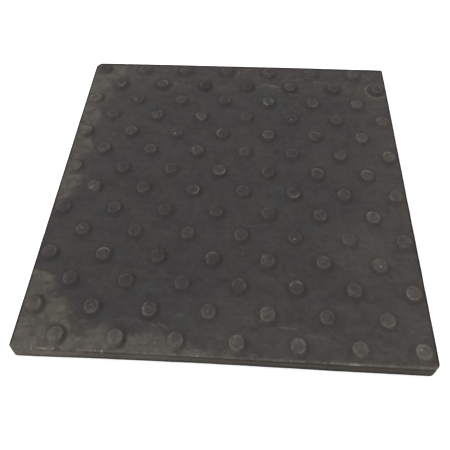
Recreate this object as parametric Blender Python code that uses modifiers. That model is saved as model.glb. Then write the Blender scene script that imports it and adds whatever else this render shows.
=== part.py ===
"""Snowboard stomp pad: a square moulded rubber tread with fourteen staggered
rows of flat-topped studs, a double-coated foam tape let into its underside,
and a release liner that is slit down the middle into two halves.

Frame: origin at the centre of the underside, +Z up through the studs,
+Y towards the end row whose first stud is nearest the -X side. Metres.
"""

import bmesh
import bpy
from mathutils import Matrix

MM = 0.001
TOLERANCE = 1e-6            # heights closer than this count as equal

# Layers, from the underside up, with the same small gap above each
LAYER_GAP = 0.02 * MM
LINER_THICKNESS = 0.12 * MM
GLUE_THICKNESS = 0.10 * MM
FOAM_THICKNESS = 0.80 * MM
LOWER_GLUE_Z = LINER_THICKNESS + LAYER_GAP
FOAM_Z = LOWER_GLUE_Z + GLUE_THICKNESS + LAYER_GAP
UPPER_GLUE_Z = FOAM_Z + FOAM_THICKNESS + LAYER_GAP

# Slab of the tread
PAD_SIDE = 125.0 * MM
PAD_CORNER_RADIUS = 1.8 * MM
PAD_CORNER_SEGMENTS = 5
SLAB_TOP_Z = 6.1 * MM
RIM_Z = LOWER_GLUE_Z        # underside of the rim, level with the lower adhesive
TOP_EDGE_RADIUS = 0.5 * MM
TOP_EDGE_SEGMENTS = 3
LIP_HEIGHT = 0.15 * MM      # straight land below the rounded top edge
NECK_DEPTH = 0.18 * MM      # how far the side is drawn in under the lip
NECK_Z = 5.0 * MM           # height of the drawn-in line
BELLY_Z = 4.1 * MM          # the side is back at full width from here down
FOOT_CHAMFER = 0.15 * MM

# Studs: rows are one step apart, studs in a row two steps, alternate rows shifted one step
ROWS = 14
STUDS_PER_ROW = 7
ROW_STEP = 8.96 * MM
STUD_PITCH = 2 * ROW_STEP
STUD_HEIGHT = 1.2 * MM
STUD_BASE_RADIUS = 3.4 * MM     # at the slab's top face
STUD_TOP_RADIUS = 2.25 * MM
STUD_SINK = 0.3 * MM            # the stud tool runs this far into the slab
STUD_SIDES = 16

# Square recess in the underside that takes the tape
RIM_WIDTH = 3.0 * MM
RECESS_SIDE = PAD_SIDE - 2 * RIM_WIDTH
RECESS_CORNER_RADIUS = 1.5 * MM
RECESS_CEILING_Z = UPPER_GLUE_Z + GLUE_THICKNESS + LAYER_GAP
RECESS_TOOL_BOTTOM_Z = -2.0 * MM

# Square tape, and the liner of the same outline
TAPE_CLEARANCE = 0.3 * MM       # between each side of the tape and the recess wall
TAPE_SIDE = RECESS_SIDE - 2 * TAPE_CLEARANCE
TAPE_CORNER_RADIUS = 1.2 * MM
LINER_SLIT = 0.4 * MM           # gap between the liner's halves
CORNER_SEGMENTS = 4             # corners of the tape, liner and recess


# ------------------------------------------------------------ scene helpers
def clear_scene():
    for obj in list(bpy.data.objects):
        bpy.data.objects.remove(obj, do_unlink=True)


def new_collection(name):
    collection = bpy.data.collections.new(name)
    bpy.context.scene.collection.children.link(collection)
    return collection


def new_material(name, rgb, roughness):
    material = bpy.data.materials.new(name)
    material.use_nodes = True
    shader = material.node_tree.nodes["Principled BSDF"]
    shader.inputs["Base Color"].default_value = (*rgb, 1.0)
    shader.inputs["Roughness"].default_value = roughness
    material.diffuse_color = (*rgb, 1.0)
    return material


def add_object(name, bm, collection, material=None):
    mesh = bpy.data.meshes.new(name)
    bm.normal_update()
    bm.to_mesh(mesh)
    bm.free()
    obj = bpy.data.objects.new(name, mesh)
    collection.objects.link(obj)
    if material:
        mesh.materials.append(material)
    return obj


def add_tool(name, bm, collection):
    """A boolean operand, shown as wire and left out of renders."""
    tool = add_object(name, bm, collection)
    tool.hide_render = True
    tool.display_type = "WIRE"
    return tool


def add_array(obj, name, count, offset):
    array = obj.modifiers.new(name, "ARRAY")
    array.count = count
    array.use_relative_offset = False
    array.use_constant_offset = True
    array.constant_offset_displace = offset


def add_boolean(obj, name, operation, tool):
    boolean = obj.modifiers.new(name, "BOOLEAN")
    boolean.operation = operation
    boolean.solver = "EXACT"
    boolean.object = tool


# ------------------------------------------------------------- mesh helpers
def upright_edges(bm):
    return [e for e in bm.edges if abs(e.verts[0].co.z - e.verts[1].co.z) > TOLERANCE]


def verts_at(bm, z):
    return [v for v in bm.verts if abs(v.co.z - z) < TOLERANCE]


def edges_at(bm, z):
    level = set(verts_at(bm, z))
    return [e for e in bm.edges if level.issuperset(e.verts)]


def plate(x_span, y_span, z_span, radius, segments, rounded_ends=(-1, 1)):
    """A flat plate, its upright edges rounded at the -X end (-1), the +X end (1) or both."""
    spans = (x_span, y_span, z_span)
    centre = [(low + high) / 2 for low, high in spans]
    bm = bmesh.new()
    bmesh.ops.create_cube(bm, size=1.0)
    bmesh.ops.scale(bm, vec=[high - low for low, high in spans], verts=bm.verts)
    bmesh.ops.translate(bm, vec=centre, verts=bm.verts)
    corners = [
        e for e in upright_edges(bm)
        if (1 if e.verts[0].co.x > centre[0] else -1) in rounded_ends
    ]
    bmesh.ops.bevel(
        bm,
        geom=corners,
        offset=radius,
        segments=segments,
        profile=0.5,
        affect="EDGES",
        clamp_overlap=True,
    )
    return bm


def square_plate(side, z_span, radius, segments=CORNER_SEGMENTS):
    """A square plate centred on the Z axis, with all four corners rounded."""
    span = (-side / 2, side / 2)
    return plate(span, span, z_span, radius, segments)


# --------------------------------------------------------------------- tread
def slab_mesh():
    bm = square_plate(PAD_SIDE, (RIM_Z, SLAB_TOP_Z), PAD_CORNER_RADIUS, PAD_CORNER_SEGMENTS)
    for z, offset, segments in (
        (SLAB_TOP_Z, TOP_EDGE_RADIUS, TOP_EDGE_SEGMENTS),
        (RIM_Z, FOOT_CHAMFER, 1),
    ):
        bmesh.ops.bevel(
            bm,
            geom=edges_at(bm, z),
            offset=offset,
            segments=segments,
            profile=0.5,
            affect="EDGES",
        )

    # Loops round the side, so that the middle one can be drawn in.
    for z in (SLAB_TOP_Z - TOP_EDGE_RADIUS - LIP_HEIGHT, NECK_Z, BELLY_Z):
        bmesh.ops.bisect_plane(
            bm,
            geom=bm.verts[:] + bm.edges[:] + bm.faces[:],
            plane_co=(0, 0, z),
            plane_no=(0, 0, 1),
        )
    neck_scale = 1 - NECK_DEPTH / (PAD_SIDE / 2)
    bmesh.ops.scale(bm, vec=(neck_scale, neck_scale, 1), verts=verts_at(bm, NECK_Z))
    return bm


def stud_mesh():
    """One stud, its origin level with the slab's top and its cone carried on below."""
    slope = (STUD_BASE_RADIUS - STUD_TOP_RADIUS) / STUD_HEIGHT
    bm = bmesh.new()
    bmesh.ops.create_cone(
        bm,
        cap_ends=True,
        cap_tris=False,
        segments=STUD_SIDES,
        radius1=STUD_BASE_RADIUS + slope * STUD_SINK,
        radius2=STUD_TOP_RADIUS,
        depth=STUD_HEIGHT + STUD_SINK,
        matrix=Matrix.Translation((0, 0, (STUD_HEIGHT - STUD_SINK) / 2)),
    )
    return bm


def add_stud_grid(name, shift, collection):
    """Every second row of studs, moved by shift towards +X and -Y from the first stud."""
    first = ROW_STEP * (ROWS - 1) / 2
    grid = add_tool(name, stud_mesh(), collection)
    grid.location = (-first + shift, first - shift, SLAB_TOP_Z)
    add_array(grid, "across", STUDS_PER_ROW, (STUD_PITCH, 0, 0))
    add_array(grid, "along", ROWS // 2, (0, -STUD_PITCH, 0))
    return grid


def add_tread(part, tools):
    """The slab joined with both stud grids, then recessed underneath."""
    rubber = new_material("tread_rubber", rgb=(0.055, 0.050, 0.047), roughness=0.62)
    tread = add_object("rubber_tread", slab_mesh(), part, rubber)
    odd_rows = add_stud_grid("stud_tool_odd_rows", 0, tools)
    even_rows = add_stud_grid("stud_tool_even_rows", ROW_STEP, tools)
    recess_span = (RECESS_TOOL_BOTTOM_Z, RECESS_CEILING_Z)
    recess_mesh = square_plate(RECESS_SIDE, recess_span, RECESS_CORNER_RADIUS)
    recess = add_tool("tape_recess_tool", recess_mesh, tools)
    add_boolean(tread, "odd_rows", "UNION", odd_rows)
    add_boolean(tread, "even_rows", "UNION", even_rows)
    add_boolean(tread, "tape_recess", "DIFFERENCE", recess)


# ------------------------------------------------------------ tape and liner
def add_tape(part):
    """Foam core with an adhesive coat on each face."""
    foam = new_material("tape_foam", rgb=(0.030, 0.030, 0.032), roughness=0.90)
    glue = new_material("tape_adhesive", rgb=(0.70, 0.69, 0.64), roughness=0.25)
    for name, z, thickness, material in (
        ("tape_adhesive_upper", UPPER_GLUE_Z, GLUE_THICKNESS, glue),
        ("tape_foam_core", FOAM_Z, FOAM_THICKNESS, foam),
        ("tape_adhesive_lower", LOWER_GLUE_Z, GLUE_THICKNESS, glue),
    ):
        layer = square_plate(TAPE_SIDE, (z, z + thickness), TAPE_CORNER_RADIUS)
        add_object(name, layer, part, material)


def add_liner(part):
    """Two halves, each parented to an empty on its outer bottom edge, where it folds."""
    paper = new_material("liner_paper", rgb=(0.86, 0.83, 0.72), roughness=0.45)
    half_side = TAPE_SIDE / 2
    half_width = half_side - LINER_SLIT / 2
    for name, side in (("release_liner_left", -1), ("release_liner_right", 1)):
        fold_line = bpy.data.objects.new(name + "_fold_line", None)
        fold_line.location = (side * half_side, 0, 0)
        part.objects.link(fold_line)
        mesh = plate(
            sorted((0.0, -side * half_width)),
            (-half_side, half_side),
            (0.0, LINER_THICKNESS),
            TAPE_CORNER_RADIUS,
            CORNER_SEGMENTS,
            rounded_ends=(side,),
        )
        add_object(name, mesh, part, paper).parent = fold_line


def build():
    clear_scene()
    part = new_collection("snowboard_stomp_pad")
    tools = new_collection("cutters")
    add_tread(part, tools)
    add_tape(part)
    add_liner(part)


build()
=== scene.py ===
"""A snowboard stomp pad: weathered studded rubber tread, foam tape and split paper liner.

The square pad lies flat and centred on the Z axis, studs up (+Z), its front side towards -Y and its
right side towards +X. Sizes are in millimetres, except on the stage and camera, which use metres.
"""

import math
from functools import cached_property
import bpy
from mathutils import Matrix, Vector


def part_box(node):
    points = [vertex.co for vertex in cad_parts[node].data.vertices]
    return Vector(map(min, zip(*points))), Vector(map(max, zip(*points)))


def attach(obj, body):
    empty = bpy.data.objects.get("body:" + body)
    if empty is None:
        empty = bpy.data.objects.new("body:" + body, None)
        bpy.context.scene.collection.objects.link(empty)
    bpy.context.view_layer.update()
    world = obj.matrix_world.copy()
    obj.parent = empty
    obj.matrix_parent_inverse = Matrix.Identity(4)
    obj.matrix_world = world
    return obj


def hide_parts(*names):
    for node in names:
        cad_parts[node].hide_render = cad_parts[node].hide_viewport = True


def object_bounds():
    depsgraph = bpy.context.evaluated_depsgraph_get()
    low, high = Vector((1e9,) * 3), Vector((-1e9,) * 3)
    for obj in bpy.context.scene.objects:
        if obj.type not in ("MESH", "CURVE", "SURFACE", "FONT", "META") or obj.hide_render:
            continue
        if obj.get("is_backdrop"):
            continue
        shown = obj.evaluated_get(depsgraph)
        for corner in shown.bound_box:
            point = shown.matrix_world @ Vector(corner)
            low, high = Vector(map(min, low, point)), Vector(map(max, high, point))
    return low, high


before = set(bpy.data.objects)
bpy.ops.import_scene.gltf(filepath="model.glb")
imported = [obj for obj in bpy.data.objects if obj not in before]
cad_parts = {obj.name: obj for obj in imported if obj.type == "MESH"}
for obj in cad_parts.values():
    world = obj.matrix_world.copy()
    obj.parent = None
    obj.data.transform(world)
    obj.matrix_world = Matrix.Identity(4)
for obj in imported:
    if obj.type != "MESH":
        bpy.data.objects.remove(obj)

from types import SimpleNamespace

import bpy
import numpy as np
from mathutils import Matrix, Vector, noise
from mathutils.geometry import delaunay_2d_cdt


def plain(bounds):
    return [[round(float(c), 6) for c in corner] for corner in bounds]


SIZE = {"frame": plain(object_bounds())}

# ------------------------------------------------------------------------- sizes
MM = 0.001                                  # one millimetre in metres
tread_lo, tread_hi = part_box("rubber_tread")
STUD_H = 1.2
HALF = tread_hi.x / MM                      # half the side of the square
TOP = tread_hi.z / MM - STUD_H              # top face of the slab
RIM_Z = tread_lo.z / MM                     # underside of the slab's rim
TAPE_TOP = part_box("tape_adhesive_upper")[1].z / MM
CEILING = TAPE_TOP + 0.02                   # ceiling of the recess over the tape
FLOOR_Z = -0.135                            # just under the liner when it is folded out flat

PITCH = 8.96                                # square grid, every second point has a stud
ROWS, PER_ROW = 14, 7
STUD_R = 3.51                               # where a stud's foot meets the slab
STUD_SEGMENTS = 44
ANGLES = np.arange(STUD_SEGMENTS) * 2 * math.pi / STUD_SEGMENTS

# Corners and sides go counter-clockwise from the front left corner.
CORNER_SIGNS = ((-1, -1), (1, -1), (1, 1), (-1, 1))
CORNER_RADII = (1.1, 1.9, 0.8, 2.7)
MIN_RADIUS = 0.45
RECESS_RADIUS = 1.5
ARC_POINTS = 9
SIDE_STEPS = (300, 110, 104, 110)           # steps along the front, right, back and left side

BEAD = 0.61                                 # inset of the inner line of the bead on the top edge
SAG = 0.16                                  # how proud the slab stands along its middle
SLAB_STEP, SLAB_JITTER = 1.75, 0.3          # spacing of the loose points between the studs
SLAB_MARGIN, STUD_CLEARANCE = 0.9, 4.1      # how far they keep from the bead and stud centres

# A stud from its foot inwards: radius, height, then how far it is flank, rim and top.
STUD_PROFILE = (
    (STUD_R, 0.000, 0.00, 0.00, 0.0),
    (3.360, 0.030, 0.15, 0.00, 0.0),
    (3.200, 0.100, 0.55, 0.00, 0.0),
    (3.010, 0.230, 0.90, 0.00, 0.0),
    (2.780, 0.450, 1.00, 0.00, 0.0),
    (2.555, 0.710, 1.00, 0.00, 0.0),
    (2.390, 0.910, 0.75, 0.15, 0.1),
    (2.260, 1.050, 0.30, 0.60, 0.5),
    (2.120, 1.145, 0.05, 1.00, 0.9),
    (1.975, 1.185, 0.00, 1.00, 1.0),
    (1.810, 1.178, 0.00, 0.70, 1.0),
    (1.600, 1.142, 0.00, 0.20, 1.0),
    (1.270, 1.115, 0.00, 0.00, 1.0),
    (0.780, 1.120, 0.00, 0.00, 1.0),
)

# The slab's side from the bead's inner line down, under and up into the recess: inset, height, then
# how far it is scuffed lip (the bead), side, and painted shade with some grime (the groove and
# foot).
SIDE_PROFILE = (
    (0.52, TOP + 0.022, 0.40, 0.0, 0.0),
    (0.42, TOP + 0.034, 0.90, 0.0, 0.0),
    (0.32, TOP + 0.012, 1.0, 0.0, 0.0),
    (0.23, TOP - 0.045, 1.0, 0.0, 0.0),
    (0.15, TOP - 0.130, 0.9, 0.1, 0.0),
    (0.08, TOP - 0.250, 0.8, 0.2, 0.0),
    (0.03, TOP - 0.420, 0.6, 0.4, 0.1),
    (0.02, TOP - 0.620, 0.2, 0.8, 0.6),
    (0.08, TOP - 0.860, 0.0, 1.0, 1.0),
    (0.16, TOP - 1.120, 0.0, 1.0, 1.0),
    (0.18, TOP - 1.380, 0.0, 1.0, 0.95),
    (0.13, TOP - 1.640, 0.0, 1.0, 0.6),
    (0.05, TOP - 1.940, 0.0, 1.0, 0.2),
    (0.01, TOP - 2.280, 0.0, 1.0, 0.0),
    (0.00, TOP - 2.700, 0.0, 1.0, 0.0),
    (0.00, TOP - 3.400, 0.0, 1.0, 0.0),
    (0.00, TOP - 4.000, 0.0, 1.0, 0.25),
    (0.01, TOP - 4.600, 0.0, 1.0, 0.7),
    (0.01, RIM_Z + 0.42, 0.0, 1.0, 1.0),
    (0.02, RIM_Z + 0.16, 0.0, 1.0, 1.0),
    (0.08, RIM_Z + 0.03, 0.0, 1.0, 1.0),
    (0.20, RIM_Z, 0.0, 1.0, 1.0),
    (1.60, RIM_Z, 0.0, 1.0, 1.0),
    (2.80, RIM_Z, 0.0, 1.0, 1.0),
    (2.95, RIM_Z + 0.06, 0.0, 1.0, 0.6),
    (3.00, RIM_Z + 0.25, 0.0, 1.0, 0.3),
    (3.00, TAPE_TOP - 0.15, 0.0, 1.0, 0.0),
    (3.06, CEILING, 0.0, 1.0, 0.0),
)

# Unevenness of moulded faces: height, wavelengths along x and y, noise layer.
TOP_RIPPLES = ((0.055, 31, 27, 3.1), (0.030, 9, 9, 7.7), (0.010, 2.7, 2.7, 1.3))
LIP_RIPPLES = ((0.030, 2.1, 2.1, 6.0), (0.018, 0.8, 0.8, 8.0))
GROOVE_RIPPLES = ((0.09, 5.0, 5.0, 12.0), (0.04, 1.4, 1.4, 14.0))
# Chipped stretches of the front edge: strength, centre, width.
CHIPPED = ((1.0, -46, 11), (0.40, -18, 10), (0.35, 30, 14))

# Values kept on each vertex of the tread, for its material.
CHANNELS = ("rim", "top", "flank", "lip", "side", "dirt", "chip")
rng = np.random.RandomState(41)


# ------------------------------------------------------------------- tread shape
def smooth_noise(x, y, layer):
    """Smooth noise, about -1 to 1."""
    return noise.noise(Vector((x, y, layer)))


def ripples(x, y, table):
    return sum(h * smooth_noise(x / long_x, y / long_y, layer) for h, long_x, long_y, layer in table)


def hump(x, centre, width):
    return math.exp(-(((x - centre) / width) ** 2))


def sag(x):
    """The slab stands very slightly proud along its middle, front to back."""
    return SAG * (1 - (x / HALF) ** 2)


def ground(x, y):
    """Height of the slab's top face."""
    return TOP + ripples(x, y, TOP_RIPPLES) + sag(x)


def outline(inset, radius=None):
    """The square's rounded outline moved inwards by inset, counter-clockwise."""
    half = HALF - inset
    arcs = []
    for k, (sign_x, sign_y) in enumerate(CORNER_SIGNS):
        r = radius if radius is not None else max(CORNER_RADII[k] - inset, MIN_RADIUS)
        start = math.radians(180 + 90 * k)
        arc = []
        for j in range(ARC_POINTS):
            angle = start + math.pi / 2 * j / (ARC_POINTS - 1)
            x = sign_x * (half - r) + r * math.cos(angle)
            y = sign_y * (half - r) + r * math.sin(angle)
            arc.append((x, y))
        arcs.append(arc)
    points = []
    for k, steps in enumerate(SIDE_STEPS):
        points += arcs[k]
        a, b = arcs[k][-1], arcs[(k + 1) % 4][0]
        for j in range(1, steps):
            t = j / steps
            points.append((a[0] + (b[0] - a[0]) * t, a[1] + (b[1] - a[1]) * t))
    return np.array(points)


def bowed(x, z):
    """How far the front side is drawn inwards here, at its top and, differently, at its foot."""
    top = 0.13 * hump(x, centre=-15, width=32)
    foot = 0.20 * hump(x, centre=-4, width=24) - 0.34 * hump(x, centre=-60, width=16)
    start = TOP - 1.0
    share = min(1.0, max(0.0, (start - z) / (start - RIM_Z)))
    return top + (foot - top) * share


def chipping(x, y):
    """How chipped the top edge is: crumbled at the front's left end, a few nicks elsewhere."""
    front = max(0.0, 1 - abs(y + HALF) / 3)
    stretches = sum(strength * hump(x, centre, width) for strength, centre, width in CHIPPED)
    coarse = max(0.0, smooth_noise(x / 1.5, y / 1.5, layer=9.0) - 0.05)
    fine = max(0.0, smooth_noise(x / 0.7, y / 0.7, layer=3.0) - 0.15)
    rare = max(0.0, smooth_noise(x / 2.1, y / 2.1, layer=4.0) - 0.45)
    return min(1.2, front * stretches * (coarse + 0.8 * fine) * 2.4 + 0.8 * rare)


class Part:
    """Collects vertices, faces and per-vertex values, and makes one mesh."""

    def __init__(self):
        self.points, self.faces = [], []
        self.channels = {name: [] for name in CHANNELS}

    def add(self, x, y, z, **values):
        self.points.append((x, y, z))
        for name, store in self.channels.items():
            store.append(values.get(name, 0.0))
        return len(self.points) - 1

    def strip(self, a, b):
        """Quads between two closed rings of the same length."""
        n = len(a)
        for j in range(n):
            k = (j + 1) % n
            self.faces.append((a[j], a[k], b[k], b[j]))

    def make(self, name, material):
        mesh = bpy.data.meshes.new(name)
        mesh.from_pydata((np.array(self.points) * MM).tolist(), [], self.faces)
        mesh.validate()
        for channel, store in self.channels.items():
            attribute = mesh.attributes.new(channel, "FLOAT", "POINT")
            attribute.data.foreach_set("value", np.array(store, np.float32))
        mesh.shade_smooth()
        mesh.materials.append(material)
        obj = bpy.data.objects.new(name, mesh)
        bpy.context.scene.collection.objects.link(obj)
        return obj


def stud_centres():
    """Stud centres in rows from the back, every other row shifted by one pitch."""
    for row in range(ROWS):
        y = PITCH * ((ROWS - 1) / 2 - row)
        x0 = -PITCH * (ROWS - 1) / 2 + (PITCH if row % 2 else 0.0)
        for i in range(PER_ROW):
            yield x0 + 2 * PITCH * i, y


def random_stud(x, y):
    """A stud at x, y and how it differs from the profile. The turns are angles round it."""
    turns = rng.uniform(0, 2 * math.pi, 6)
    stud = SimpleNamespace(
        x=x,
        y=y,
        shift_x=rng.uniform(-0.07, 0.07),
        shift_y=rng.uniform(-0.07, 0.07),
        grow=rng.uniform(-0.020, 0.020),
        oval=rng.uniform(0.0, 0.016),
        lobes=rng.uniform(0.0, 0.007),
        tall=rng.uniform(0.88, 1.02),
        tilt=rng.uniform(0.0, 0.055),
        wear=rng.uniform(0.02, 0.12),
        dish=0.022 * rng.uniform(-0.5, 1.3),
        chip=rng.uniform(0.18, 0.38) if rng.uniform() < 0.16 else 0.0,
    )
    stud.oval_turn, stud.lobe_turn, stud.wave_turn = turns[:3]
    stud.wear_turn, stud.chip_turn, stud.tilt_turn = turns[3:]
    return stud


def add_foot(part, stud):
    """The ring where a stud meets the slab."""
    x0, y0 = stud.x + 0.3 * stud.shift_x, stud.y + 0.3 * stud.shift_y
    radii = STUD_R * (1 + 0.25 * stud.oval * np.cos(2 * (ANGLES - stud.oval_turn)))
    ring = []
    for radius, angle in zip(radii, ANGLES):
        x, y = x0 + radius * math.cos(angle), y0 + radius * math.sin(angle)
        ring.append(part.add(x, y, ground(x, y)))
    return ring


def add_slab_points(part, studs):
    """Loose points of the slab between the studs."""
    centres = np.array([(stud.x, stud.y) for stud in studs])
    points = []
    steps = int(2 * HALF / SLAB_STEP) + 1
    for row in range(steps):
        shift = SLAB_STEP / 2 if row % 2 else 0
        for column in range(steps):
            x = -HALF + column * SLAB_STEP + shift + rng.uniform(-SLAB_JITTER, SLAB_JITTER)
            y = -HALF + row * SLAB_STEP + rng.uniform(-SLAB_JITTER, SLAB_JITTER)
            if max(abs(x), abs(y)) > HALF - BEAD - SLAB_MARGIN:
                continue
            distances = (centres[:, 0] - x) ** 2 + (centres[:, 1] - y) ** 2
            if distances.min() < STUD_CLEARANCE**2:
                continue
            points.append(part.add(x, y, ground(x, y)))
    return points


def fill_slab(part, bead_ring, foot_rings, loose):
    """Triangles of the top face between the bead and the studs' feet."""
    ids = bead_ring + [v for ring in foot_rings for v in ring] + loose
    flat = [Vector(part.points[v][:2]) for v in ids]
    base = len(bead_ring)
    edges = [(j, (j + 1) % base) for j in range(base)]
    for k in range(len(foot_rings)):
        o = base + k * STUD_SEGMENTS
        edges += [(o + j, o + (j + 1) % STUD_SEGMENTS) for j in range(STUD_SEGMENTS)]
    whole_hull, tolerance = 0, 1e-7
    corners, _, triangles, origins, _, _ = delaunay_2d_cdt(
        flat, edges, [], whole_hull, tolerance, True
    )
    back = [origin[0] for origin in origins]
    for triangle in triangles:
        # A triangle whose three corners are on the same stud's foot lies under that stud.
        feet = {(back[v] - base) // STUD_SEGMENTS for v in triangle}
        if len(feet) == 1 and 0 <= min(feet) < len(foot_rings):
            continue
        a, b, c = (corners[v] for v in triangle)
        face = tuple(ids[back[v]] for v in triangle)
        area = (b.x - a.x) * (c.y - a.y) - (b.y - a.y) * (c.x - a.x)
        part.faces.append(face if area > 0 else face[::-1])


def stud_point(number, stud, station, angle):
    """Where a stud's surface is at one station of its profile and one angle."""
    radius, height, flank, rim, top = station
    up = height / STUD_H
    bump = (
        stud.oval * math.cos(2 * (angle - stud.oval_turn))
        + stud.lobes * math.cos(3 * (angle - stud.lobe_turn))
        + 0.004 * math.cos(7 * (angle - stud.wave_turn))
    )
    r = radius * (1 + up * stud.grow + (0.25 + 0.75 * up) * bump)
    # Worn rims are lower in places, and a few studs have a piece torn off the rim.
    worn = stud.wear * (0.5 + 0.5 * math.cos(angle - stud.wear_turn)) * rim
    rough = smooth_noise(6 * math.cos(angle) + number, 6 * math.sin(angle), layer=2.0)
    worn += 0.035 * rim * max(0.0, rough)
    if stud.chip:
        away = abs((angle - stud.chip_turn + math.pi) % (2 * math.pi) - math.pi)
        bite = max(0.0, 1 - (away / 0.42) ** 2)
        worn += stud.chip * bite * (rim + 0.4 * flank) * up
        r -= 0.22 * bite * up * (1 if radius > 2.05 else 0)
    z = height * stud.tall - worn
    if top:
        z += stud.tilt * (r / 2.4) * math.cos(angle - stud.tilt_turn)
        z -= stud.dish * max(0.0, 1 - (r / 2.0) ** 2)
    x = stud.x + stud.shift_x * (0.3 + 0.7 * up) + r * math.cos(angle)
    y = stud.y + stud.shift_y * (0.3 + 0.7 * up) + r * math.sin(angle)
    if top:
        coarse = smooth_noise(x * 1.3, y * 1.3, layer=5.0)
        z += 0.016 * coarse + 0.007 * smooth_noise(x * 3.1, y * 3.1, layer=8.0)
    return x, y, ground(x, y) + z


def add_stud(part, number, stud, foot):
    below = foot
    for station in STUD_PROFILE[1:]:
        _, _, flank, rim, top = station
        ring = [
            part.add(*stud_point(number, stud, station, angle), rim=rim, top=top, flank=flank)
            for angle in ANGLES
        ]
        part.strip(below, ring)
        below = ring
    x, y = stud.x + stud.shift_x, stud.y + stud.shift_y
    z = STUD_PROFILE[-1][1] * stud.tall - stud.dish
    middle = part.add(x, y, ground(x, y) + z, top=1.0)
    for j in range(STUD_SEGMENTS):
        part.faces.append((below[j], below[(j + 1) % STUD_SEGMENTS], middle))


def limited(place, push, room):
    """The push, stopped where it would go further inwards than room."""
    sign = math.copysign(1, place)
    return sign * max(sign * push, -room)


def add_side_ring(part, station, outer):
    """One ring of the side. Noise follows the outer outline, so it lines up between rings."""
    inset, height, lip, side, dirt = station
    ring = []
    for (x, y), (ox, oy) in zip(outline(inset, RECESS_RADIUS if inset >= 2.5 else None), outer):
        z = height + sag(ox) * (1.0 if height > 1.5 else max(0.0, height / 1.5) * 0.6)
        # Outward normal of the nearest straight side.
        if abs(ox) > abs(oy):
            normal_x, normal_y = math.copysign(1, ox), 0
        else:
            normal_x, normal_y = 0, math.copysign(1, oy)
        push_x = push_y = 0.0
        if inset < 1.0:
            long_wave = smooth_noise(ox / 6, oy / 6, layer=2.0 + height * 0.15)
            short_wave = smooth_noise(ox / 1.6, oy / 1.6, layer=height * 0.5)
            wave = 0.045 * long_wave + 0.018 * short_wave
            push_x, push_y = normal_x * wave, normal_y * wave
            if oy < -0.9 * HALF:
                push_y += bowed(ox, height) * min(1.0, (-oy - 0.9 * HALF) / (0.1 * HALF))
        chip = 0.0
        if lip > 0:
            z += ripples(ox, oy, TOP_RIPPLES) * (0.8 if height > TOP - 0.5 else 0.3)
            z += lip * ripples(ox, oy, LIP_RIPPLES)
            chip = chipping(ox, oy)
            z -= chip * lip * 0.60
            cut = min(0.22, chip * lip * 0.40)
            push_x -= normal_x * cut
            push_y -= normal_y * cut
        # However chipped it is, the edge stays outside its own inner line.
        room = 0.8 * abs(BEAD - inset)
        x += limited(ox, push_x, room)
        y += limited(oy, push_y, room)
        # The groove wanders a little.
        if TOP - 1.9 < height < TOP - 0.5:
            z += ripples(ox, oy, GROOVE_RIPPLES)
        ring.append(part.add(x, y, z, lip=lip, side=side, dirt=dirt, chip=min(1.0, 1.6 * chip)))
    return ring


def add_ceiling(part, above):
    """The recess's ceiling, through two smaller rings so that no face is long and thin."""
    for inset in (9.0, 24.0):
        points = outline(inset, RECESS_RADIUS)
        ring = [part.add(x, y, CEILING + 0.1 * sag(x), side=1.0) for x, y in points]
        part.strip(ring, above)
        above = ring
    middle = part.add(0, 0, TAPE_TOP + 0.04, side=1.0)
    for j in range(len(above)):
        part.faces.append((above[(j + 1) % len(above)], above[j], middle))


def build_tread(material):
    part = Part()
    bead_ring = [part.add(x, y, ground(x, y)) for x, y in outline(BEAD)]
    studs = [random_stud(x, y) for x, y in stud_centres()]
    foot_rings = [add_foot(part, stud) for stud in studs]
    fill_slab(part, bead_ring, foot_rings, add_slab_points(part, studs))
    for number, (stud, foot) in enumerate(zip(studs, foot_rings)):
        add_stud(part, number, stud, foot)
    above = bead_ring
    outer = outline(0.0)
    for station in SIDE_PROFILE:
        ring = add_side_ring(part, station, outer)
        part.strip(ring, above)
        above = ring
    add_ceiling(part, above)
    return part.make("tread", material)


# ------------------------------------------------------------------ shader graphs
class Value:
    """A node's output. Arithmetic on it adds math nodes to its graph."""

    def __init__(self, graph, socket):
        self.graph, self.socket = graph, socket

    def __add__(self, other):
        return self.graph.math("ADD", self, other)

    def __sub__(self, other):
        return self.graph.math("SUBTRACT", self, other)

    def __rsub__(self, other):
        return self.graph.math("SUBTRACT", other, self)

    def __mul__(self, other):
        return self.graph.math("MULTIPLY", self, other)

    def __truediv__(self, other):
        return self.graph.math("DIVIDE", self, other)

    def __pow__(self, other):
        return self.graph.math("POWER", self, other)

    def __abs__(self):
        return self.graph.math("ABSOLUTE", self)

    def __round__(self):
        return self.graph.math("ROUND", self)

    def scaled(self, by, plus):
        return self.graph.math("MULTIPLY_ADD", self, by, plus)

    def swing(self, amount):
        """A 0 to 1 pattern made to swing about zero, over amount in all."""
        return (self - 0.5) * amount


def total(values):
    first, *rest = values
    return sum(rest, first)


def turned(x, y, cosine, sine):
    """x and y measured along axes turned by an angle."""
    return x * cosine + y * sine, y * cosine - x * sine


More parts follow.
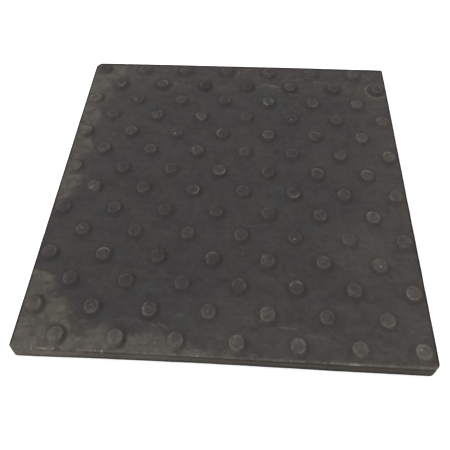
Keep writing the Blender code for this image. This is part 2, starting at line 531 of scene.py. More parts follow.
class Graph:
    """Short ways to write the node tree of a material or world. Its lengths are millimetres."""

    def __init__(self, owner):
        owner.use_nodes = True
        self.owner = owner
        self.tree = owner.node_tree

    def node(self, kind, **props):
        node = self.tree.nodes.new(kind)
        for name, value in props.items():
            setattr(node, name, value)
        return node

    def output(self, kind, name, **props):
        return Value(self, self.node(kind, **props).outputs[name])

    def put(self, value, socket):
        if isinstance(value, Value):
            self.tree.links.new(value.socket, socket)
        else:
            socket.default_value = value

    def surface(self, values):
        """Sets inputs of the surface shader and returns the material."""
        for name, value in values.items():
            self.put(value, self.tree.nodes["Principled BSDF"].inputs[name])
        return self.owner

    @cached_property
    def position(self):
        return self.multiplied(self.output("ShaderNodeTexCoord", "Object"), 1 / MM)

    def multiplied(self, vector, factor):
        node = self.node("ShaderNodeVectorMath", operation="SCALE")
        self.put(vector, node.inputs[0])
        self.put(factor, node.inputs["Scale"])
        return Value(self, node.outputs[0])

    def math(self, operation, a, b=0.0, c=None, clamp=False):
        node = self.node("ShaderNodeMath", operation=operation, use_clamp=clamp)
        self.put(a, node.inputs[0])
        self.put(b, node.inputs[1])
        if c is not None:
            self.put(c, node.inputs[2])
        return Value(self, node.outputs[0])

    def max(self, a, b):
        return self.math("MAXIMUM", a, b)

    def clamp(self, a):
        return self.math("ADD", a, 0.0, clamp=True)

    def length(self, x, y):
        return self.math("SQRT", x * x + y * y)

    def ramp(self, a, over, to=(0.0, 1.0)):
        """Smooth step between the two values of to, as a goes over its range."""
        node = self.node("ShaderNodeMapRange", interpolation_type="SMOOTHSTEP")
        names = ("Value", "From Min", "From Max", "To Min", "To Max")
        for name, value in zip(names, (a, *over, *to)):
            self.put(value, node.inputs[name])
        return Value(self, node.outputs["Result"])

    def vector(self, x, y, z=0.0):
        node = self.node("ShaderNodeCombineXYZ")
        for value, socket in zip((x, y, z), node.inputs):
            self.put(value, socket)
        return Value(self, node.outputs[0])

    def noise(self, scale, detail, rough=0.5, vector=None, stretch=None, offset=0.0, distort=0.0):
        """Noise from 0 to 1 with features of about 1/scale mm. The offset picks another part."""
        vector = vector or self.position
        if stretch or offset:
            mapping = self.node("ShaderNodeMapping")
            mapping.inputs["Scale"].default_value = stretch or (1, 1, 1)
            mapping.inputs["Location"].default_value = (offset, offset * 0.7, offset * 1.3)
            self.put(vector, mapping.inputs["Vector"])
            vector = Value(self, mapping.outputs[0])
        node = self.node("ShaderNodeTexNoise")
        node.inputs["Scale"].default_value = scale
        node.inputs["Detail"].default_value = detail
        node.inputs["Roughness"].default_value = rough
        node.inputs["Distortion"].default_value = distort
        self.put(vector, node.inputs["Vector"])
        return Value(self, node.outputs[0])

    def curve(self, a, points):
        node = self.node("ShaderNodeFloatCurve")
        curve = node.mapping.curves[0]
        while len(curve.points) < len(points):
            curve.points.new(0.5, 0.5)
        for point, place in zip(curve.points, points):
            point.location = place
        node.mapping.update()
        self.put(a, node.inputs["Value"])
        return Value(self, node.outputs[0])

    def mix(self, share, a, b):
        """Colour a with a share of colour b."""
        node = self.node("ShaderNodeMix", data_type="RGBA", blend_type="MIX")
        self.put(share, node.inputs["Factor"])
        self.put(a, node.inputs[6])
        self.put(b, node.inputs[7])
        return Value(self, node.outputs[2])

    def bump(self, height, depth, normal=None):
        node = self.node("ShaderNodeBump")
        node.inputs["Strength"].default_value = 1.0
        node.inputs["Distance"].default_value = depth * MM
        self.put(height, node.inputs["Height"])
        if normal:
            self.put(normal, node.inputs["Normal"])
        return Value(self, node.outputs[0])


def linear(*display):
    """A linear colour from 0 to 255 display values."""
    out = []
    for c in display:
        c /= 255
        out.append(c / 12.92 if c <= 0.04045 else ((c + 0.055) / 1.055) ** 2.4)
    return (*out, 1.0)


# ----------------------------------------------------------------- rubber: tables
# The rubber itself, then where it is hazy, wet, dirty or worn, and the colours of painted shade and
# painted highlights.
DARK, BROWN, DUSTY_BROWN = linear(55, 50, 52), linear(55, 52, 51), linear(59, 54, 51)
HAZE, TEAL, SHADE_CRESCENT = linear(69, 65, 61), linear(51, 54, 53), linear(50, 44, 38)
GRIME_AND_SHADE, SIDE_SHADE_AND_DIRT, BLACK = linear(40, 37, 36), linear(34, 29, 22), linear(16, 15, 14)
WORN_AND_HIGHLIGHT, RUBBED_AND_HIGHLIGHT, SPECK_AND_GLINT = linear(88, 84, 78), linear(100, 96, 89), linear(128, 124, 117)
SCUFF, CRUMB, SWIRL = linear(97, 92, 84), linear(138, 133, 124), linear(96, 90, 80)
# Dust on the top face, and the tones of the side.
DUST_LOW, DUST_HIGH = linear(73, 69, 64), linear(87, 83, 76)
DUST_OLIVE, DUST_THICK = linear(76, 74, 65), linear(101, 96, 89)
SIDE_LOW, SIDE_HIGH, SIDE_DUST = linear(57, 52, 46), linear(70, 66, 59), linear(92, 87, 80)

# Noise patterns that the layers share.
PATTERNS = {
    "big": dict(scale=0.034, detail=3.0),
    "mid": dict(scale=0.12, detail=5.0, rough=0.62, offset=11.0, distort=0.5),
    "fine": dict(scale=0.75, detail=6.0, rough=0.65, offset=5.0),
    "grain": dict(scale=3.2, detail=4.0, rough=0.65, offset=2.0),
    "blot": dict(scale=0.30, detail=3.0, rough=0.55, offset=44.0, distort=0.8),
    "streak": dict(scale=0.9, detail=5.0, rough=0.62, stretch=(0.10, 1.0, 1.0), offset=21.0),
    "smear": dict(
        scale=0.16, detail=4.0, rough=0.60, stretch=(0.35, 1.0, 1.0), offset=71.0, distort=0.6
    ),
    "wisp": dict(
        scale=0.42, detail=6.0, rough=0.68, stretch=(0.45, 1.0, 1.0), offset=13.0, distort=1.2
    ),
    "hue": dict(scale=0.075, detail=3.0, rough=0.60, offset=33.0, distort=0.7),
}

# Width of the dust along the left side (share of the way back, share of the greatest width) and
# along the front (share of the way right, share of the greatest width).
DUST_LEFT_WIDTH, DUST_FRONT_WIDTH = 20.0, 30.0
DUST_LEFT = (
    (0.00, 0.85), (0.07, 0.82), (0.10, 0.78), (0.12, 0.52), (0.137, 0.34), (0.162, 0.42),
    (0.19, 0.30), (0.205, 0.06), (0.25, 0.00), (0.31, 0.00), (0.35, 0.07), (0.41, 0.10),
    (0.45, 0.32), (0.53, 0.32), (0.56, 0.18), (0.61, 0.42), (0.66, 0.30), (0.74, 0.40),
    (0.79, 0.30), (0.84, 0.48), (0.88, 0.40), (0.93, 0.62), (1.00, 0.70),
)
DUST_FRONT = (
    (0.00, 0.62), (0.10, 0.50), (0.135, 0.26), (0.16, 0.17), (0.20, 0.20), (0.226, 0.24),
    (0.28, 0.16), (0.34, 0.25), (0.37, 0.19), (0.415, 0.10), (0.46, 0.055), (0.52, 0.02),
    (0.70, 0.00), (0.85, 0.00), (1.00, 0.02),
)

# Soft round patches: share of the way right, share of the way back, radius as a share, amount.
HAZE_PATCHES = ((0.84, 0.31, 0.14, 0.42), (0.80, 0.69, 0.16, 0.20))
SHADED_PATCHES = ((0.24, 0.27, 0.34, 0.065), (0.56, 0.06, 0.10, 0.045))
PUDDLES = (
    (0.38, 0.95, 0.09, 0.14), (0.54, 0.89, 0.06, 0.14), (0.20, 0.83, 0.12, 0.10),
    (0.20, 0.07, 0.06, 0.19), (0.082, 0.135, 0.045, 0.24), (0.55, 0.05, 0.08, 0.10),
    (0.40, 0.070, 0.050, 0.17),
)
BACK_LEFT = (0.034, 0.966)                  # a patch's place, in the back left corner

# Bent, broken streaks on the top face: start x, end x, start y, end y, bend, width, amount.
SWOOSHES = (
    (9.5, 20.0, 50.8, 48.6, 0.9, 1.0, 0.62),
    (16.0, 27.0, 49.2, 45.4, -1.0, 0.7, 0.50),
    (-34.0, -20.0, 50.5, 49.0, 0.6, 0.8, 0.30),
    (30.0, 50.0, 54.6, 52.6, -0.8, 0.9, 0.22),
    (12.5, 24.0, -53.6, -53.7, 0.9, 0.55, 0.42),
    (22.0, 36.0, -54.2, -57.0, 0.4, 0.6, 0.20),
    (36.0, 48.0, -20.5, -26.0, 0.6, 0.8, 0.22),
    (-20.0, -15.5, -53.2, -55.2, 0.3, 0.9, 0.34),
    (-12.8, -10.2, -57.4, -60.8, 0.0, 1.1, 0.50),
    (-10.0, -7.8, -58.0, -61.6, 0.0, 1.1, 0.45),
    (-8.0, -5.6, -60.2, -62.2, 0.2, 0.9, 0.60),
)
RING_X, RING_Y, RING_RADIUS = 58.2, 49.3, 4.3   # a curved mark near the back right corner
# Short scratches: direction in radians, noise layer.
SCRATCHES = ((0.35, 3.0), (-0.9, 17.0), (1.9, 29.0))
# Scuffs across the front edge: x, width, slant, amount.
EDGE_SCUFFS = (
    (-55.6, 0.42, 0.1, 0.85), (-46.0, 0.32, -0.9, 0.55), (-43.2, 0.42, -1.1, 0.75),
    (-41.6, 0.28, -1.4, 0.45), (-34.7, 0.50, 0.1, 0.75), (-51.0, 2.6, 0.4, 0.16),
    (-39.0, 1.8, -0.6, 0.14),
)


# ----------------------------------------------------------------- rubber: layers
class RubberGraph(Graph):
    """The rubber's graph, with the places and patterns its layers share."""

    def __init__(self):
        super().__init__(bpy.data.materials.new("weathered_rubber"))
        separate = self.node("ShaderNodeSeparateXYZ")
        self.put(self.position, separate.inputs[0])
        self.x, self.y, self.z = (Value(self, socket) for socket in separate.outputs)
        # Shares of the way from the left side to the right, and from the front to the back.
        self.right = self.x.scaled(1 / (2 * HALF), plus=0.5)
        self.back = self.y.scaled(1 / (2 * HALF), plus=0.5)
        self.from_front = self.y + HALF
        for name, settings in PATTERNS.items():
            setattr(self, name, self.noise(**settings))
        for name in CHANNELS:
            setattr(self, name, self.output("ShaderNodeAttribute", "Fac", attribute_name=name))
        self.find_studs()
        self.ground = 1.0 - self.clamp(self.top + self.flank)

    def find_studs(self):
        """Place relative to the nearest stud, and three random values for each stud."""
        # The stud grid is square when seen turned by 45 degrees.
        grid_x = self.x.scaled(1 / PITCH, plus=1.5)
        grid_y = self.y.scaled(1 / PITCH, plus=0.5)
        rising = (grid_x + grid_y) * 0.5
        falling = (grid_x - grid_y) * 0.5
        off_rising = rising - round(rising)
        off_falling = falling - round(falling)
        self.stud_x = (off_rising + off_falling) * PITCH
        self.stud_y = (off_rising - off_falling) * PITCH
        self.stud_r = self.length(self.stud_x, self.stud_y)
        cell = self.node("ShaderNodeTexWhiteNoise", noise_dimensions="2D")
        self.put(self.vector(round(rising), round(falling)), cell.inputs["Vector"])
        parts = self.node("ShaderNodeSeparateColor")
        self.put(Value(self, cell.outputs["Color"]), parts.inputs[0])
        self.rand_a, self.rand_b, self.rand_c = (Value(self, part) for part in parts.outputs)
        # Axes turned differently on every stud, and rubbing marks along them.
        angle = self.rand_c * (2 * math.pi)
        cosine, sine = self.math("COSINE", angle), self.math("SINE", angle)
        self.along, self.across = turned(self.stud_x, self.stud_y, cosine, sine)
        place = self.vector(self.along * 0.30, self.across * 2.1, self.rand_a * 30.0)
        self.lines = self.noise(scale=1.0, detail=4.0, rough=0.65, vector=place, distort=0.4)

    def patch(self, right, back, radius, amount):
        """A soft round patch on the top face, in shares of the side."""
        distance = self.length(self.right - right, self.back - back)
        return self.ramp(distance, over=(radius, radius * 0.15), to=(0.0, amount))

    def swoosh(self, x0, x1, y0, y1, bend, width, amount):
        """A bent, broken streak from one point of the top face to another."""
        t = (self.x - x0) * (1 / (x1 - x0))
        arch = t * (1.0 - t) * (4 * bend)
        away = self.y - (t.scaled(y1 - y0, plus=y0) + arch)
        away = abs(away + self.wisp.swing(1.2))
        ends = self.ramp(t, over=(0.0, 0.25)) * self.ramp(t, over=(1.0, 0.72))
        broken = self.ramp(self.fine, over=(0.30, 0.55), to=(0.35 * amount, amount))
        return self.ramp(away, over=(width, 0.1)) * ends * broken


def dust_cover(g):
    """Where dust lies: a scalloped band along the left side, a tongue along the front."""
    ragged = g.mid.swing(6.5) + g.wisp.swing(12.0)
    left_width = g.curve(g.back, DUST_LEFT) * DUST_LEFT_WIDTH
    reach_left = left_width + ragged * 0.5 - (g.x + HALF)
    left = g.ramp(reach_left, over=(-1.9, 1.7)) * g.ramp(left_width, over=(0.5, 3.0))
    front_width = g.curve(g.right, DUST_FRONT) * DUST_FRONT_WIDTH
    reach_front = front_width + ragged * 0.55 - g.from_front
    dust = g.max(left, g.ramp(reach_front, over=(-2.1, 1.9)))
    patchy = g.ramp(g.smear * 0.55 + g.wisp * 0.45, over=(0.32, 0.62), to=(0.55, 1.05))
    return g.clamp(dust * patchy * g.ramp(g.back, over=(0.80, 0.92), to=(1.0, 0.84)))


def haze_cover(g):
    """A thinner brown haze over the back, its left end, the right and the front."""
    back = g.ramp(g.back, over=(0.78, 0.97), to=(0.0, 0.20))
    left = g.ramp(g.right, over=(0.22, 0.0), to=(0.0, 0.50))
    left = left * g.ramp(g.back, over=(0.40, 0.80), to=(0.1, 1.0))
    right = g.ramp(g.right, over=(0.80, 0.97), to=(0.0, 0.46))
    right = right * g.ramp(g.back, over=(0.84, 0.95), to=(1.0, 0.55))
    front = g.ramp(g.back, over=(0.20, 0.04), to=(0.0, 0.46))
    front = front * g.ramp(g.right, over=(0.30, 0.50), to=(0.3, 1.0))
    haze = (back + left) + (right + front)
    for patch in HAZE_PATCHES:
        haze = haze + g.patch(*patch)
    corner = g.ramp(g.right, over=(0.40, 0.06), to=(0.0, 0.50))
    haze = haze + corner * g.ramp(g.back, over=(0.84, 0.95))
    shelf = (g.mid - 0.5).scaled(0.03, plus=g.back)
    shelf = g.ramp(shelf, over=(0.868, 0.884), to=(0.0, 0.16))
    haze = haze + shelf * g.ramp(g.right, over=(0.30, 0.50))
    uneven = g.ramp(g.big * 0.35 + g.wisp * 0.65, over=(0.32, 0.64), to=(0.35, 1.30))
    return g.clamp(haze * uneven)


def wet_cover(g):
    """Where the rubber has been wet: wandering patches, puddles and some whole studs."""
    wet = g.noise(scale=0.090, detail=3.0, rough=0.55, offset=83.0, distort=0.9)
    wet = wet + total(g.patch(*puddle) for puddle in PUDDLES)
    return g.ramp(wet + g.rand_a.swing(0.08), over=(0.56, 0.68), to=(0.0, 0.75))


def base_colour(g, haze, wet):
    """A faintly purple black, browner in patches, greener where it has been wet."""
    colour = g.mix(g.ramp(g.hue, over=(0.44, 0.58)), DARK, BROWN)
    colour = g.mix(g.ramp(g.smear, over=(0.44, 0.72), to=(0.0, 0.40)), colour, DUSTY_BROWN)
    colour = g.mix(wet, colour, TEAL)
    return g.mix(haze, colour, HAZE)


def add_marks(g, colour):
    """Water marks, scratches and swirls on the slab, and painted shade and grime round the studs'
    feet.
    """
    # Pale wandering lines where puddles dried, mostly towards the back.
    tide = g.noise(scale=0.075, detail=3.0, stretch=(0.55, 1.0, 1.0), offset=61.0, distort=1.4)
    tide = g.ramp(abs(tide - 0.53), over=(0.010, 0.0))
    broken = g.ramp(g.wisp, over=(0.42, 0.60))
    at_back = g.ramp(g.back, over=(0.72, 0.92), to=(0.14, 0.60))
    at_front = g.ramp(g.back, over=(0.18, 0.05), to=(0.0, 0.25))
    colour = g.mix(g.clamp(tide * (broken * (at_back + at_front))), colour, WORN_AND_HIGHLIGHT)

    scratches = 0.0
    for turn, layer in SCRATCHES:
        along, across = turned(g.x, g.y, math.cos(turn), math.sin(turn))
        line = g.noise(scale=1.0, detail=1.0, vector=g.vector(along * 0.16, across * 3.2, layer))
        scratches = g.ramp(line, over=(0.735, 0.80)) * 0.55 + scratches
    colour = g.mix(g.clamp(scratches * g.ramp(g.blot, over=(0.45, 0.60))), colour, WORN_AND_HIGHLIGHT)

    swirls = total(g.swoosh(*swoosh) for swoosh in SWOOSHES)
    x, y = g.x - RING_X, g.y - RING_Y
    ring = g.ramp(abs(g.length(x, y) - RING_RADIUS), over=(0.9, 0.2))
    ring = ring * g.ramp(x + y, over=(2.0, -2.0), to=(0.25, 0.75))
    swirls = swirls + ring * g.ramp(g.fine, over=(0.3, 0.6), to=(0.4, 1.0))
    colour = g.mix(g.clamp(swirls * g.ground), colour, SWIRL)

    # Painted shade darkens the slab round every stud's foot, and more grime collects round the studs
    # in the rows at the back.
    rear_rows = g.ramp(g.back, over=(0.84, 0.90))
    round_foot = g.ramp(g.stud_r, over=(4.7, 3.4)) * g.ground
    return g.mix(round_foot * (g.rand_b.scaled(0.14, plus=0.05) + rear_rows * 0.32), colour, GRIME_AND_SHADE)


def top_wear_and_highlight(g):
    """How worn each stud's top is: more towards the right and the front, plus a painted highlight on
    the left of each top.
    """
    trend = g.ramp(g.right, over=(0.70, 0.98), to=(0.0, 0.34))
    trend = trend + g.ramp(g.back, over=(0.15, 0.02), to=(0.0, 0.50))
    worn = trend * g.rand_a.scaled(0.8, plus=0.5) + g.rand_b**4.0 * 0.26
    # Painted highlight on the left of each top, the side towards the light.
    return worn + g.ramp(g.stud_x, over=(0.8, -2.0), to=(0.0, 0.10))


def colour_stud_tops(g, colour, wet, worn):
    mottled = g.ramp(g.fine, over=(0.30, 0.70), to=(0.40, 1.1))
    mottled = mottled + g.ramp(g.lines, over=(0.50, 0.72), to=(0.0, 0.55))
    green = g.ramp(g.rand_c + wet * 0.3, over=(0.76, 0.90), to=(0.0, 0.60))
    colour = g.mix(g.top * green, colour, TEAL)
    # Soiled tops, most in the second row from the back and in the back left corner.
    second_row = g.ramp(abs(g.back - 0.895), over=(0.035, 0.025))
    soiled = second_row * (g.ramp(g.right, over=(0.25, 0.40)) * 0.56)
    soiled = g.rand_a.scaled(0.12, plus=0.16) + soiled
    soiled = soiled + g.patch(*BACK_LEFT, radius=0.05, amount=0.5)
    colour = g.mix(g.clamp((g.top + g.flank * 0.7) * soiled), colour, GRIME_AND_SHADE)
    # Worn tops, with the painted highlight on their left.
    colour = g.mix(g.clamp(g.top * worn * mottled), colour, WORN_AND_HIGHLIGHT)
    # Short rubbed lines and broader smudges.
    rubbed = g.top * g.ramp(g.lines, over=(0.55, 0.68))
    rubbed = rubbed * (g.rand_b**2.0).scaled(0.34, plus=0.03)
    colour = g.mix(g.clamp(rubbed), colour, RUBBED_AND_HIGHLIGHT)
    place = g.vector(g.along * 0.42, g.across * 0.95, g.rand_b.scaled(30.0, plus=9.0))
    smudge = g.noise(scale=1.0, detail=3.0, rough=0.6, vector=place, distort=0.8)
    smudge = g.clamp(g.top + g.flank * 0.3) * g.ramp(smudge, over=(0.57, 0.72))
    smudge = smudge * g.ramp(g.rand_b, over=(0.35, 0.85), to=(0.12, 0.85))
    colour = g.mix(g.clamp(smudge), colour, RUBBED_AND_HIGHLIGHT)
    # A few tops have a rubbed inner ring, and fewer a painted glint, a small bright spot.
    inner = g.ramp(abs(g.stud_r - 1.1), over=(0.36, 0.0)) * g.ramp(g.rand_c, over=(0.80, 0.86))
    inner = inner * g.top * g.ramp(g.fine, over=(0.40, 0.6), to=(0.0, 0.34))
    colour = g.mix(inner, colour, WORN_AND_HIGHLIGHT)
    x = g.stud_x - g.rand_a.scaled(2.0, plus=-1.0)
    y = g.stud_y - g.rand_b.scaled(2.0, plus=-1.0)
    away = g.math("SQRT", x * x + y * y * 1.6)
    away = away + (g.grain.swing(1.1) + g.fine.swing(0.9))
    dot = g.ramp(away, over=(0.50, 0.10)) * g.ramp(g.rand_c, over=(0.10, 0.06))
    return g.mix(dot * g.top * 0.75, colour, SPECK_AND_GLINT)


def colour_stud_rims(g, colour, worn):
    """Pale rims, broken, strongest on one side of some studs, with a painted highlight on the left
    of every rim.
    """
    facing = g.along / g.max(g.stud_r, 0.05)
    crescent = g.ramp(facing, over=(0.10, 0.95)) * g.ramp(g.rand_a, over=(0.50, 0.90))
    amount = worn.scaled(0.35, plus=0.13) + crescent * 0.55
    # Painted highlight on the left of every rim.
    amount = amount + g.ramp(g.stud_x, over=(0.0, -2.2), to=(0.0, 0.04))
    broken = g.ramp(g.fine * 0.6 + g.grain * 0.4, over=(0.38, 0.60), to=(0.10, 1.40))
    return g.mix(g.clamp(g.rim * (amount * broken)), colour, RUBBED_AND_HIGHLIGHT)


def add_dust(g, colour, dust):
    """Dust, rubbed off some stud tops and off the flanks, painted shade on the flanks' right and
    back and round the studs' feet, and grime dots in the dust.
    """
    dusty = g.mix(g.ramp(g.blot * 0.5 + g.wisp * 0.5, over=(0.32, 0.66)), DUST_LOW, DUST_HIGH)
    dusty = g.mix(g.ramp(g.hue, over=(0.50, 0.62), to=(0.0, 0.28)), dusty, DUST_OLIVE)
    thick = g.ramp(g.right, over=(0.50, 0.05)) * g.ramp(g.mid, over=(0.35, 0.62), to=(0.20, 0.85))
    thick = g.ramp(g.from_front, over=(8.0, 0.6)) * thick
    dusty = g.mix(g.clamp(thick), dusty, DUST_THICK)
    # The flanks keep less dust all round and least on their right and back, the side away from the
    # light, so the rubber shows there as painted shade.
    shaded_side = g.ramp(g.stud_y.scaled(0.7, plus=g.stud_x), over=(-2.6, 2.6), to=(0.12, 1.0))
    held = 1.0 - g.flank * shaded_side.scaled(0.62, plus=0.22)
    held = held * (1.0 - g.top * g.rand_b.scaled(0.36, plus=0.0))
    held = held * (1.0 - g.patch(*BACK_LEFT, radius=0.04, amount=0.85))
    colour = g.mix(dust * held * 0.92, colour, dusty)
    # Painted shade: a dark crescent round the foot of dusty studs, on their right and back.
    crescent = g.ramp(abs(g.stud_r - 3.25), over=(0.75, 0.2)) * (1.0 - g.top)
    crescent = dust * shaded_side * crescent
    colour = g.mix(g.clamp(crescent * g.rand_a.scaled(0.25, plus=0.42)), colour, SHADE_CRESCENT)
    dots = g.ramp(g.noise(scale=0.62, detail=1.0, offset=120.0), over=(0.76, 0.82))
    colour = g.mix(dots * dust * 0.6, colour, GRIME_AND_SHADE)
    # Painted shade: a dark line where each flank meets the slab, deepest on its right, away from the
    # light.
    foot_shade = g.ramp(abs(g.stud_r - 3.17), over=(0.42, 0.05)) * (1.0 - g.top)
    deep = g.ramp(g.stud_y.scaled(-0.35, plus=g.stud_x), over=(-3.2, 2.4), to=(0.45, 1.0))
    foot_shade = foot_shade * deep * g.rand_a.scaled(0.28, plus=0.08)
    return g.mix(g.clamp(foot_shade * (1.0 - g.side)), colour, GRIME_AND_SHADE)


def colour_side(g, colour, at_front):
    """Painted shade with some grime in the groove under the bead and at the foot, a scuffed band
    between, a dusty left end.
    """
    tone = g.mix(g.ramp(g.streak, over=(0.35, 0.7)), SIDE_LOW, SIDE_HIGH)
    end_dust = g.ramp((g.wisp - 0.5).scaled(34.0, plus=g.x), over=(-34.0, -60.0)) * at_front
    paler = end_dust * 0.9 + g.ramp(g.x, over=(20.0, -25.0), to=(0.0, 0.48)) * at_front
    tone = g.mix(g.clamp(paler), tone, SIDE_DUST)
    colour = g.mix(g.side * 0.92, colour, tone)
    # Painted shade with some grime in the groove under the bead and at the foot.
    shade_and_grime = g.dirt * g.ramp(g.smear, over=(0.3, 0.6), to=(1.0, 0.66))
    shade_and_grime = shade_and_grime * g.ramp(g.x, over=(10.0, -25.0), to=(1.0, 0.78))
    clean = g.noise(scale=0.30, detail=3.0, rough=0.6, offset=180.0)
    clean = end_dust * g.ramp(clean, over=(0.40, 0.56), to=(0.0, 0.80))
    colour = g.mix(shade_and_grime * (1.0 - clean), colour, SIDE_SHADE_AND_DIRT)
    # The very foot is black in patches.
    patches = g.noise(scale=0.22, detail=3.0, rough=0.6, offset=140.0)
    foot = g.ramp(g.z, over=(RIM_Z + 1.5, RIM_Z + 0.4))
    foot = foot * g.ramp(patches, over=(0.38, 0.60), to=(0.40, 1.0))
    return g.mix(foot * g.side * end_dust.scaled(-0.10, plus=0.84), colour, BLACK)


def colour_bead(g, colour, at_front):
    """The bead: scuffed pale with bright crumbs along the front; elsewhere a painted shade outline
    darkens the edge.
    """
    scuffed = g.lip * g.ramp(g.fine * 0.5 + g.smear * 0.5, over=(0.36, 0.60), to=(0.15, 1.0))
    scuffed = scuffed * g.ramp(abs(g.x - 2.0), over=(18.0, 6.0), to=(1.0, 0.68))
    colour = g.mix(g.clamp(scuffed * at_front), colour, SCUFF)
    # Painted shade: a dark outline along the left, right and back edges.
    near = g.math("MINIMUM", HALF - abs(g.x), (HALF - g.y) * 0.62) + g.fine.swing(0.5)
    border = g.ramp(near, over=(0.95, 0.50), to=(0.0, 0.85)) * (1.0 - g.side)
    colour = g.mix(g.max(g.lip, border) * ((1.0 - at_front) * 0.90), colour, BLACK)
    small = g.noise(scale=0.65, detail=4.0, rough=0.75, offset=90.0)
    large = g.noise(scale=0.22, detail=2.0, offset=200.0)
    crumbs = g.ramp(small, over=(0.47, 0.60)) * g.ramp(large, over=(0.40, 0.58), to=(0.15, 1.25))
    loose = g.ramp(g.lip, over=(0.2, 0.8)) * g.ramp(g.wisp, over=(0.56, 0.68))
    crumbs = crumbs * g.clamp(g.chip * 1.2 + loose)
    return g.mix(g.clamp(crumbs * at_front), colour, CRUMB)


def add_edge_scuffs(g, colour):
    """Fresh scuffs across the front edge near its left end, with the pale filler showing."""
    # Distance across the edge: positive on the top face, negative down the side.
    down = g.y + HALF - (TOP - g.z) * 0.45
    scuffs = 0.0
    for x0, width, slant, amount in EDGE_SCUFFS:
        away = abs(down.scaled(-slant, plus=g.x) - x0) + g.grain.swing(2.6 * width)
        reach = g.ramp(down, over=(1.5, 0.3)) * g.ramp(down, over=(-1.1, -0.2))
        scuffs = g.ramp(away, over=(width, width * 0.25)) * reach * amount + scuffs
    broken = g.noise(scale=2.1, detail=3.0, rough=0.6, offset=160.0)
    broken = g.ramp(broken, over=(0.42, 0.58), to=(0.1, 1.1))
    scuffs = scuffs * (broken * g.ramp(g.y, over=(3.0 - HALF, 2.0 - HALF)))
    return g.mix(g.clamp(scuffs), colour, CRUMB)


def mottle(g, colour):
    """Specks, the rubber's own fine lighter and darker mottling, broad shaded patches, and painted
    light on the flanks.
    """
    specks = g.noise(scale=0.9, detail=2.0, rough=0.6, offset=55.0)
    colour = g.mix(g.ramp(specks, over=(0.73, 0.80)) * 0.40, colour, SPECK_AND_GLINT)
    tone = g.fine.swing(0.64) + g.streak.swing(0.28)
    tone = tone + (g.blot.swing(0.70) + g.smear.swing(0.34))
    tone = tone + (g.grain - 0.5).scaled(0.62, plus=0.985)
    tone = tone - total(g.patch(*patch) for patch in SHADED_PATCHES)
    # Painted light: flanks are lighter all round and most towards the front, easing their shade.
    # They are a little darker on the left.
    tone = tone + g.flank * g.ramp(g.stud_y, over=(0.0, -2.4), to=(0.08, 0.20))
    tone = tone - g.flank * g.ramp(g.stud_x, over=(-0.8, -2.6), to=(0.0, 0.09))
    return g.multiplied(colour, g.max(tone, 0.3))


def rubber_material():
    g = RubberGraph()
    dust, haze, wet = dust_cover(g), haze_cover(g), wet_cover(g)
    colour = add_marks(g, base_colour(g, haze, wet))
    # How worn each top is, with a painted highlight on the left of each top and rim.
    worn = top_wear_and_highlight(g)
    colour = colour_stud_tops(g, colour, wet, worn)
    colour = colour_stud_rims(g, colour, worn)
    colour = add_dust(g, colour, dust)
    at_front = g.ramp(g.y, over=(1.6 - HALF, 0.3 - HALF))
    colour = colour_side(g, colour, at_front)
    colour = colour_bead(g, colour, at_front)
    colour = mottle(g, add_edge_scuffs(g, colour))
    normal = g.bump(g.grain * 0.40 + g.fine * 0.60, depth=0.05)
    normal = g.bump(g.streak, depth=0.018, normal=normal)
    normal = g.bump(g.lines * g.top, depth=0.035, normal=normal)
    return g.surface({
        "Base Color": colour,
        "Roughness": g.clamp(dust.scaled(0.10, plus=0.76) + g.fine.swing(0.16)),
        "Specular IOR Level": 0.25,
        "Normal": normal,
    })


# ---------------------------------------------------------------- other materials
def paper_material():
    g = Graph(bpy.data.materials.new("release_paper"))
    fibre = g.noise(scale=1.4, detail=5.0, rough=0.65, stretch=(1.0, 0.25, 1.0))
    cloud = g.noise(scale=0.12, detail=4.0, rough=0.6, offset=9.0)
    crumple = g.noise(scale=0.09, detail=2.0, stretch=(1.0, 0.6, 1.0), offset=40.0, distort=1.5)
    crease = g.ramp(abs(crumple - 0.5), over=(0.012, 0.0))
    cloudy = g.ramp(cloud, over=(0.3, 0.7))
    colour = g.mix(cloudy, linear(196, 180, 144), linear(211, 197, 163))
    fibrous = g.ramp(fibre, over=(0.45, 0.75), to=(0.0, 0.40))
    colour = g.mix(fibrous, colour, linear(178, 160, 124))
    colour = g.mix(crease * 0.30, colour, linear(226, 215, 188))
    return g.surface({
        "Base Color": colour,
        "Roughness": g.ramp(cloud, over=(0.3, 0.7), to=(0.34, 0.48)),
        "Normal": g.bump(crease, depth=0.04, normal=g.bump(fibre, depth=0.02)),
    })


def foam_material():
    g = Graph(bpy.data.materials.new("closed_cell_foam"))
    voronoi = g.node("ShaderNodeTexVoronoi")
    voronoi.inputs["Scale"].default_value = 3.2
    g.put(g.position, voronoi.inputs["Vector"])
    cells = Value(g, voronoi.outputs["Distance"])
    walls = g.ramp(cells, over=(0.1, 0.6))
    return g.surface({
        "Base Color": g.mix(walls, linear(52, 52, 54), linear(74, 74, 76)),
        "Roughness": 0.88,
        "Normal": g.bump(cells, depth=0.06),
    })


def adhesive_material():
    g = Graph(bpy.data.materials.new("acrylic_adhesive"))
    cloud = g.noise(scale=0.2, detail=4.0, rough=0.6)
    cloudy = g.ramp(cloud, over=(0.3, 0.7))
    return g.surface({
        "Base Color": g.mix(cloudy, linear(196, 193, 180), linear(214, 212, 200)),
        "Roughness": g.ramp(cloud, over=(0.3, 0.7), to=(0.16, 0.30)),
        "Normal": g.bump(g.noise(scale=0.9, detail=3.0, offset=4.0), depth=0.03),
    })


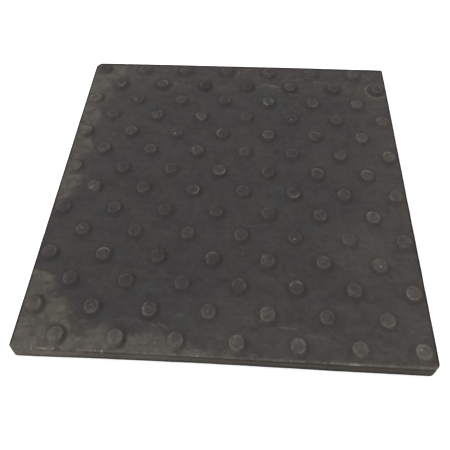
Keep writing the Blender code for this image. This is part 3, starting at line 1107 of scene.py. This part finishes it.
def floor_material():
    """The camera sees the floor almost white; it lights the pad only as a pale matt floor would."""
    g = Graph(bpy.data.materials.new("pale_floor"))
    return g.surface({
        "Base Color": (0.95, 0.95, 0.95, 1),
        "Roughness": 0.9,
        "Specular IOR Level": 0.1,
        "Emission Color": (1, 1, 1, 1),
        "Emission Strength": g.output("ShaderNodeLightPath", "Is Camera Ray") * 0.5,
    })


# ------------------------------------------------------------------------- build
tread = build_tread(rubber_material())
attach(tread, "pad")
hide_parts("rubber_tread")

paper, foam, adhesive = paper_material(), foam_material(), adhesive_material()
for node_name, material in (
    ("tape_foam_core", foam),
    ("tape_adhesive_upper", adhesive),
    ("tape_adhesive_lower", adhesive),
    ("release_liner_left", paper),
    ("release_liner_right", paper),
):
    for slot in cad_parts[node_name].material_slots:
        slot.material = material


# -------------------------------------------------------------- stage, in metres
def add_floor(half=3.0):
    mesh = bpy.data.meshes.new("floor")
    corners = [(x * half, y * half, FLOOR_Z * MM) for x, y in CORNER_SIGNS]
    mesh.from_pydata(corners, [], [(0, 1, 2, 3)])
    mesh.materials.append(floor_material())
    obj = bpy.data.objects.new("floor", mesh)
    bpy.context.scene.collection.objects.link(obj)
    obj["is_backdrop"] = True


def add_key_light():
    """A square lamp behind the pad on its left, aimed at the origin."""
    lamp = bpy.data.lights.new("key", "AREA")
    lamp.shape = "SQUARE"
    lamp.size = 0.9
    lamp.energy = 6.0
    lamp.color = (1.0, 0.99, 0.97)
    obj = bpy.data.objects.new("key", lamp)
    obj.location = (-0.78, 0.56, 1.10)
    obj.rotation_euler = (-Vector((-0.78, 0.56, 1.10))).to_track_quat("-Z", "Y").to_euler()
    bpy.context.scene.collection.objects.link(obj)


def set_world():
    """White all round, a little brighter to the camera."""
    g = Graph(bpy.data.worlds.new("studio"))
    background = g.tree.nodes["Background"]
    g.put((1, 1, 1, 1), background.inputs["Color"])
    seen = g.output("ShaderNodeLightPath", "Is Camera Ray")
    g.put(seen.scaled(0.10, plus=0.97), background.inputs["Strength"])
    bpy.context.scene.world = g.owner


def add_camera():
    """In front of the pad and above it. The lens shift moves the view below the optical axis."""
    data = bpy.data.cameras.new("camera")
    data.sensor_width = 36.0
    data.lens = 43.456
    data.shift_y = -0.21111111
    data.clip_start, data.clip_end = 0.005, 20
    obj = bpy.data.objects.new("camera", data)
    right = Vector((0.99823, 0.05683, -0.01734))
    forward = Vector((-0.05061, 0.66025, -0.74934)).normalized()
    right = (right - forward * right.dot(forward)).normalized()
    up = right.cross(forward)
    turn = Matrix((right, up, -forward)).transposed().to_4x4()
    obj.matrix_world = Matrix.Translation(Vector((0.00724, -0.11636, 0.16654))) @ turn
    bpy.context.scene.collection.objects.link(obj)
    bpy.context.scene.camera = obj


add_floor()
add_key_light()
set_world()
add_camera()
bpy.context.scene.view_settings.view_transform = "Standard"
bpy.context.scene.view_settings.look = "None"

SIZE["scene"] = plain(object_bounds())
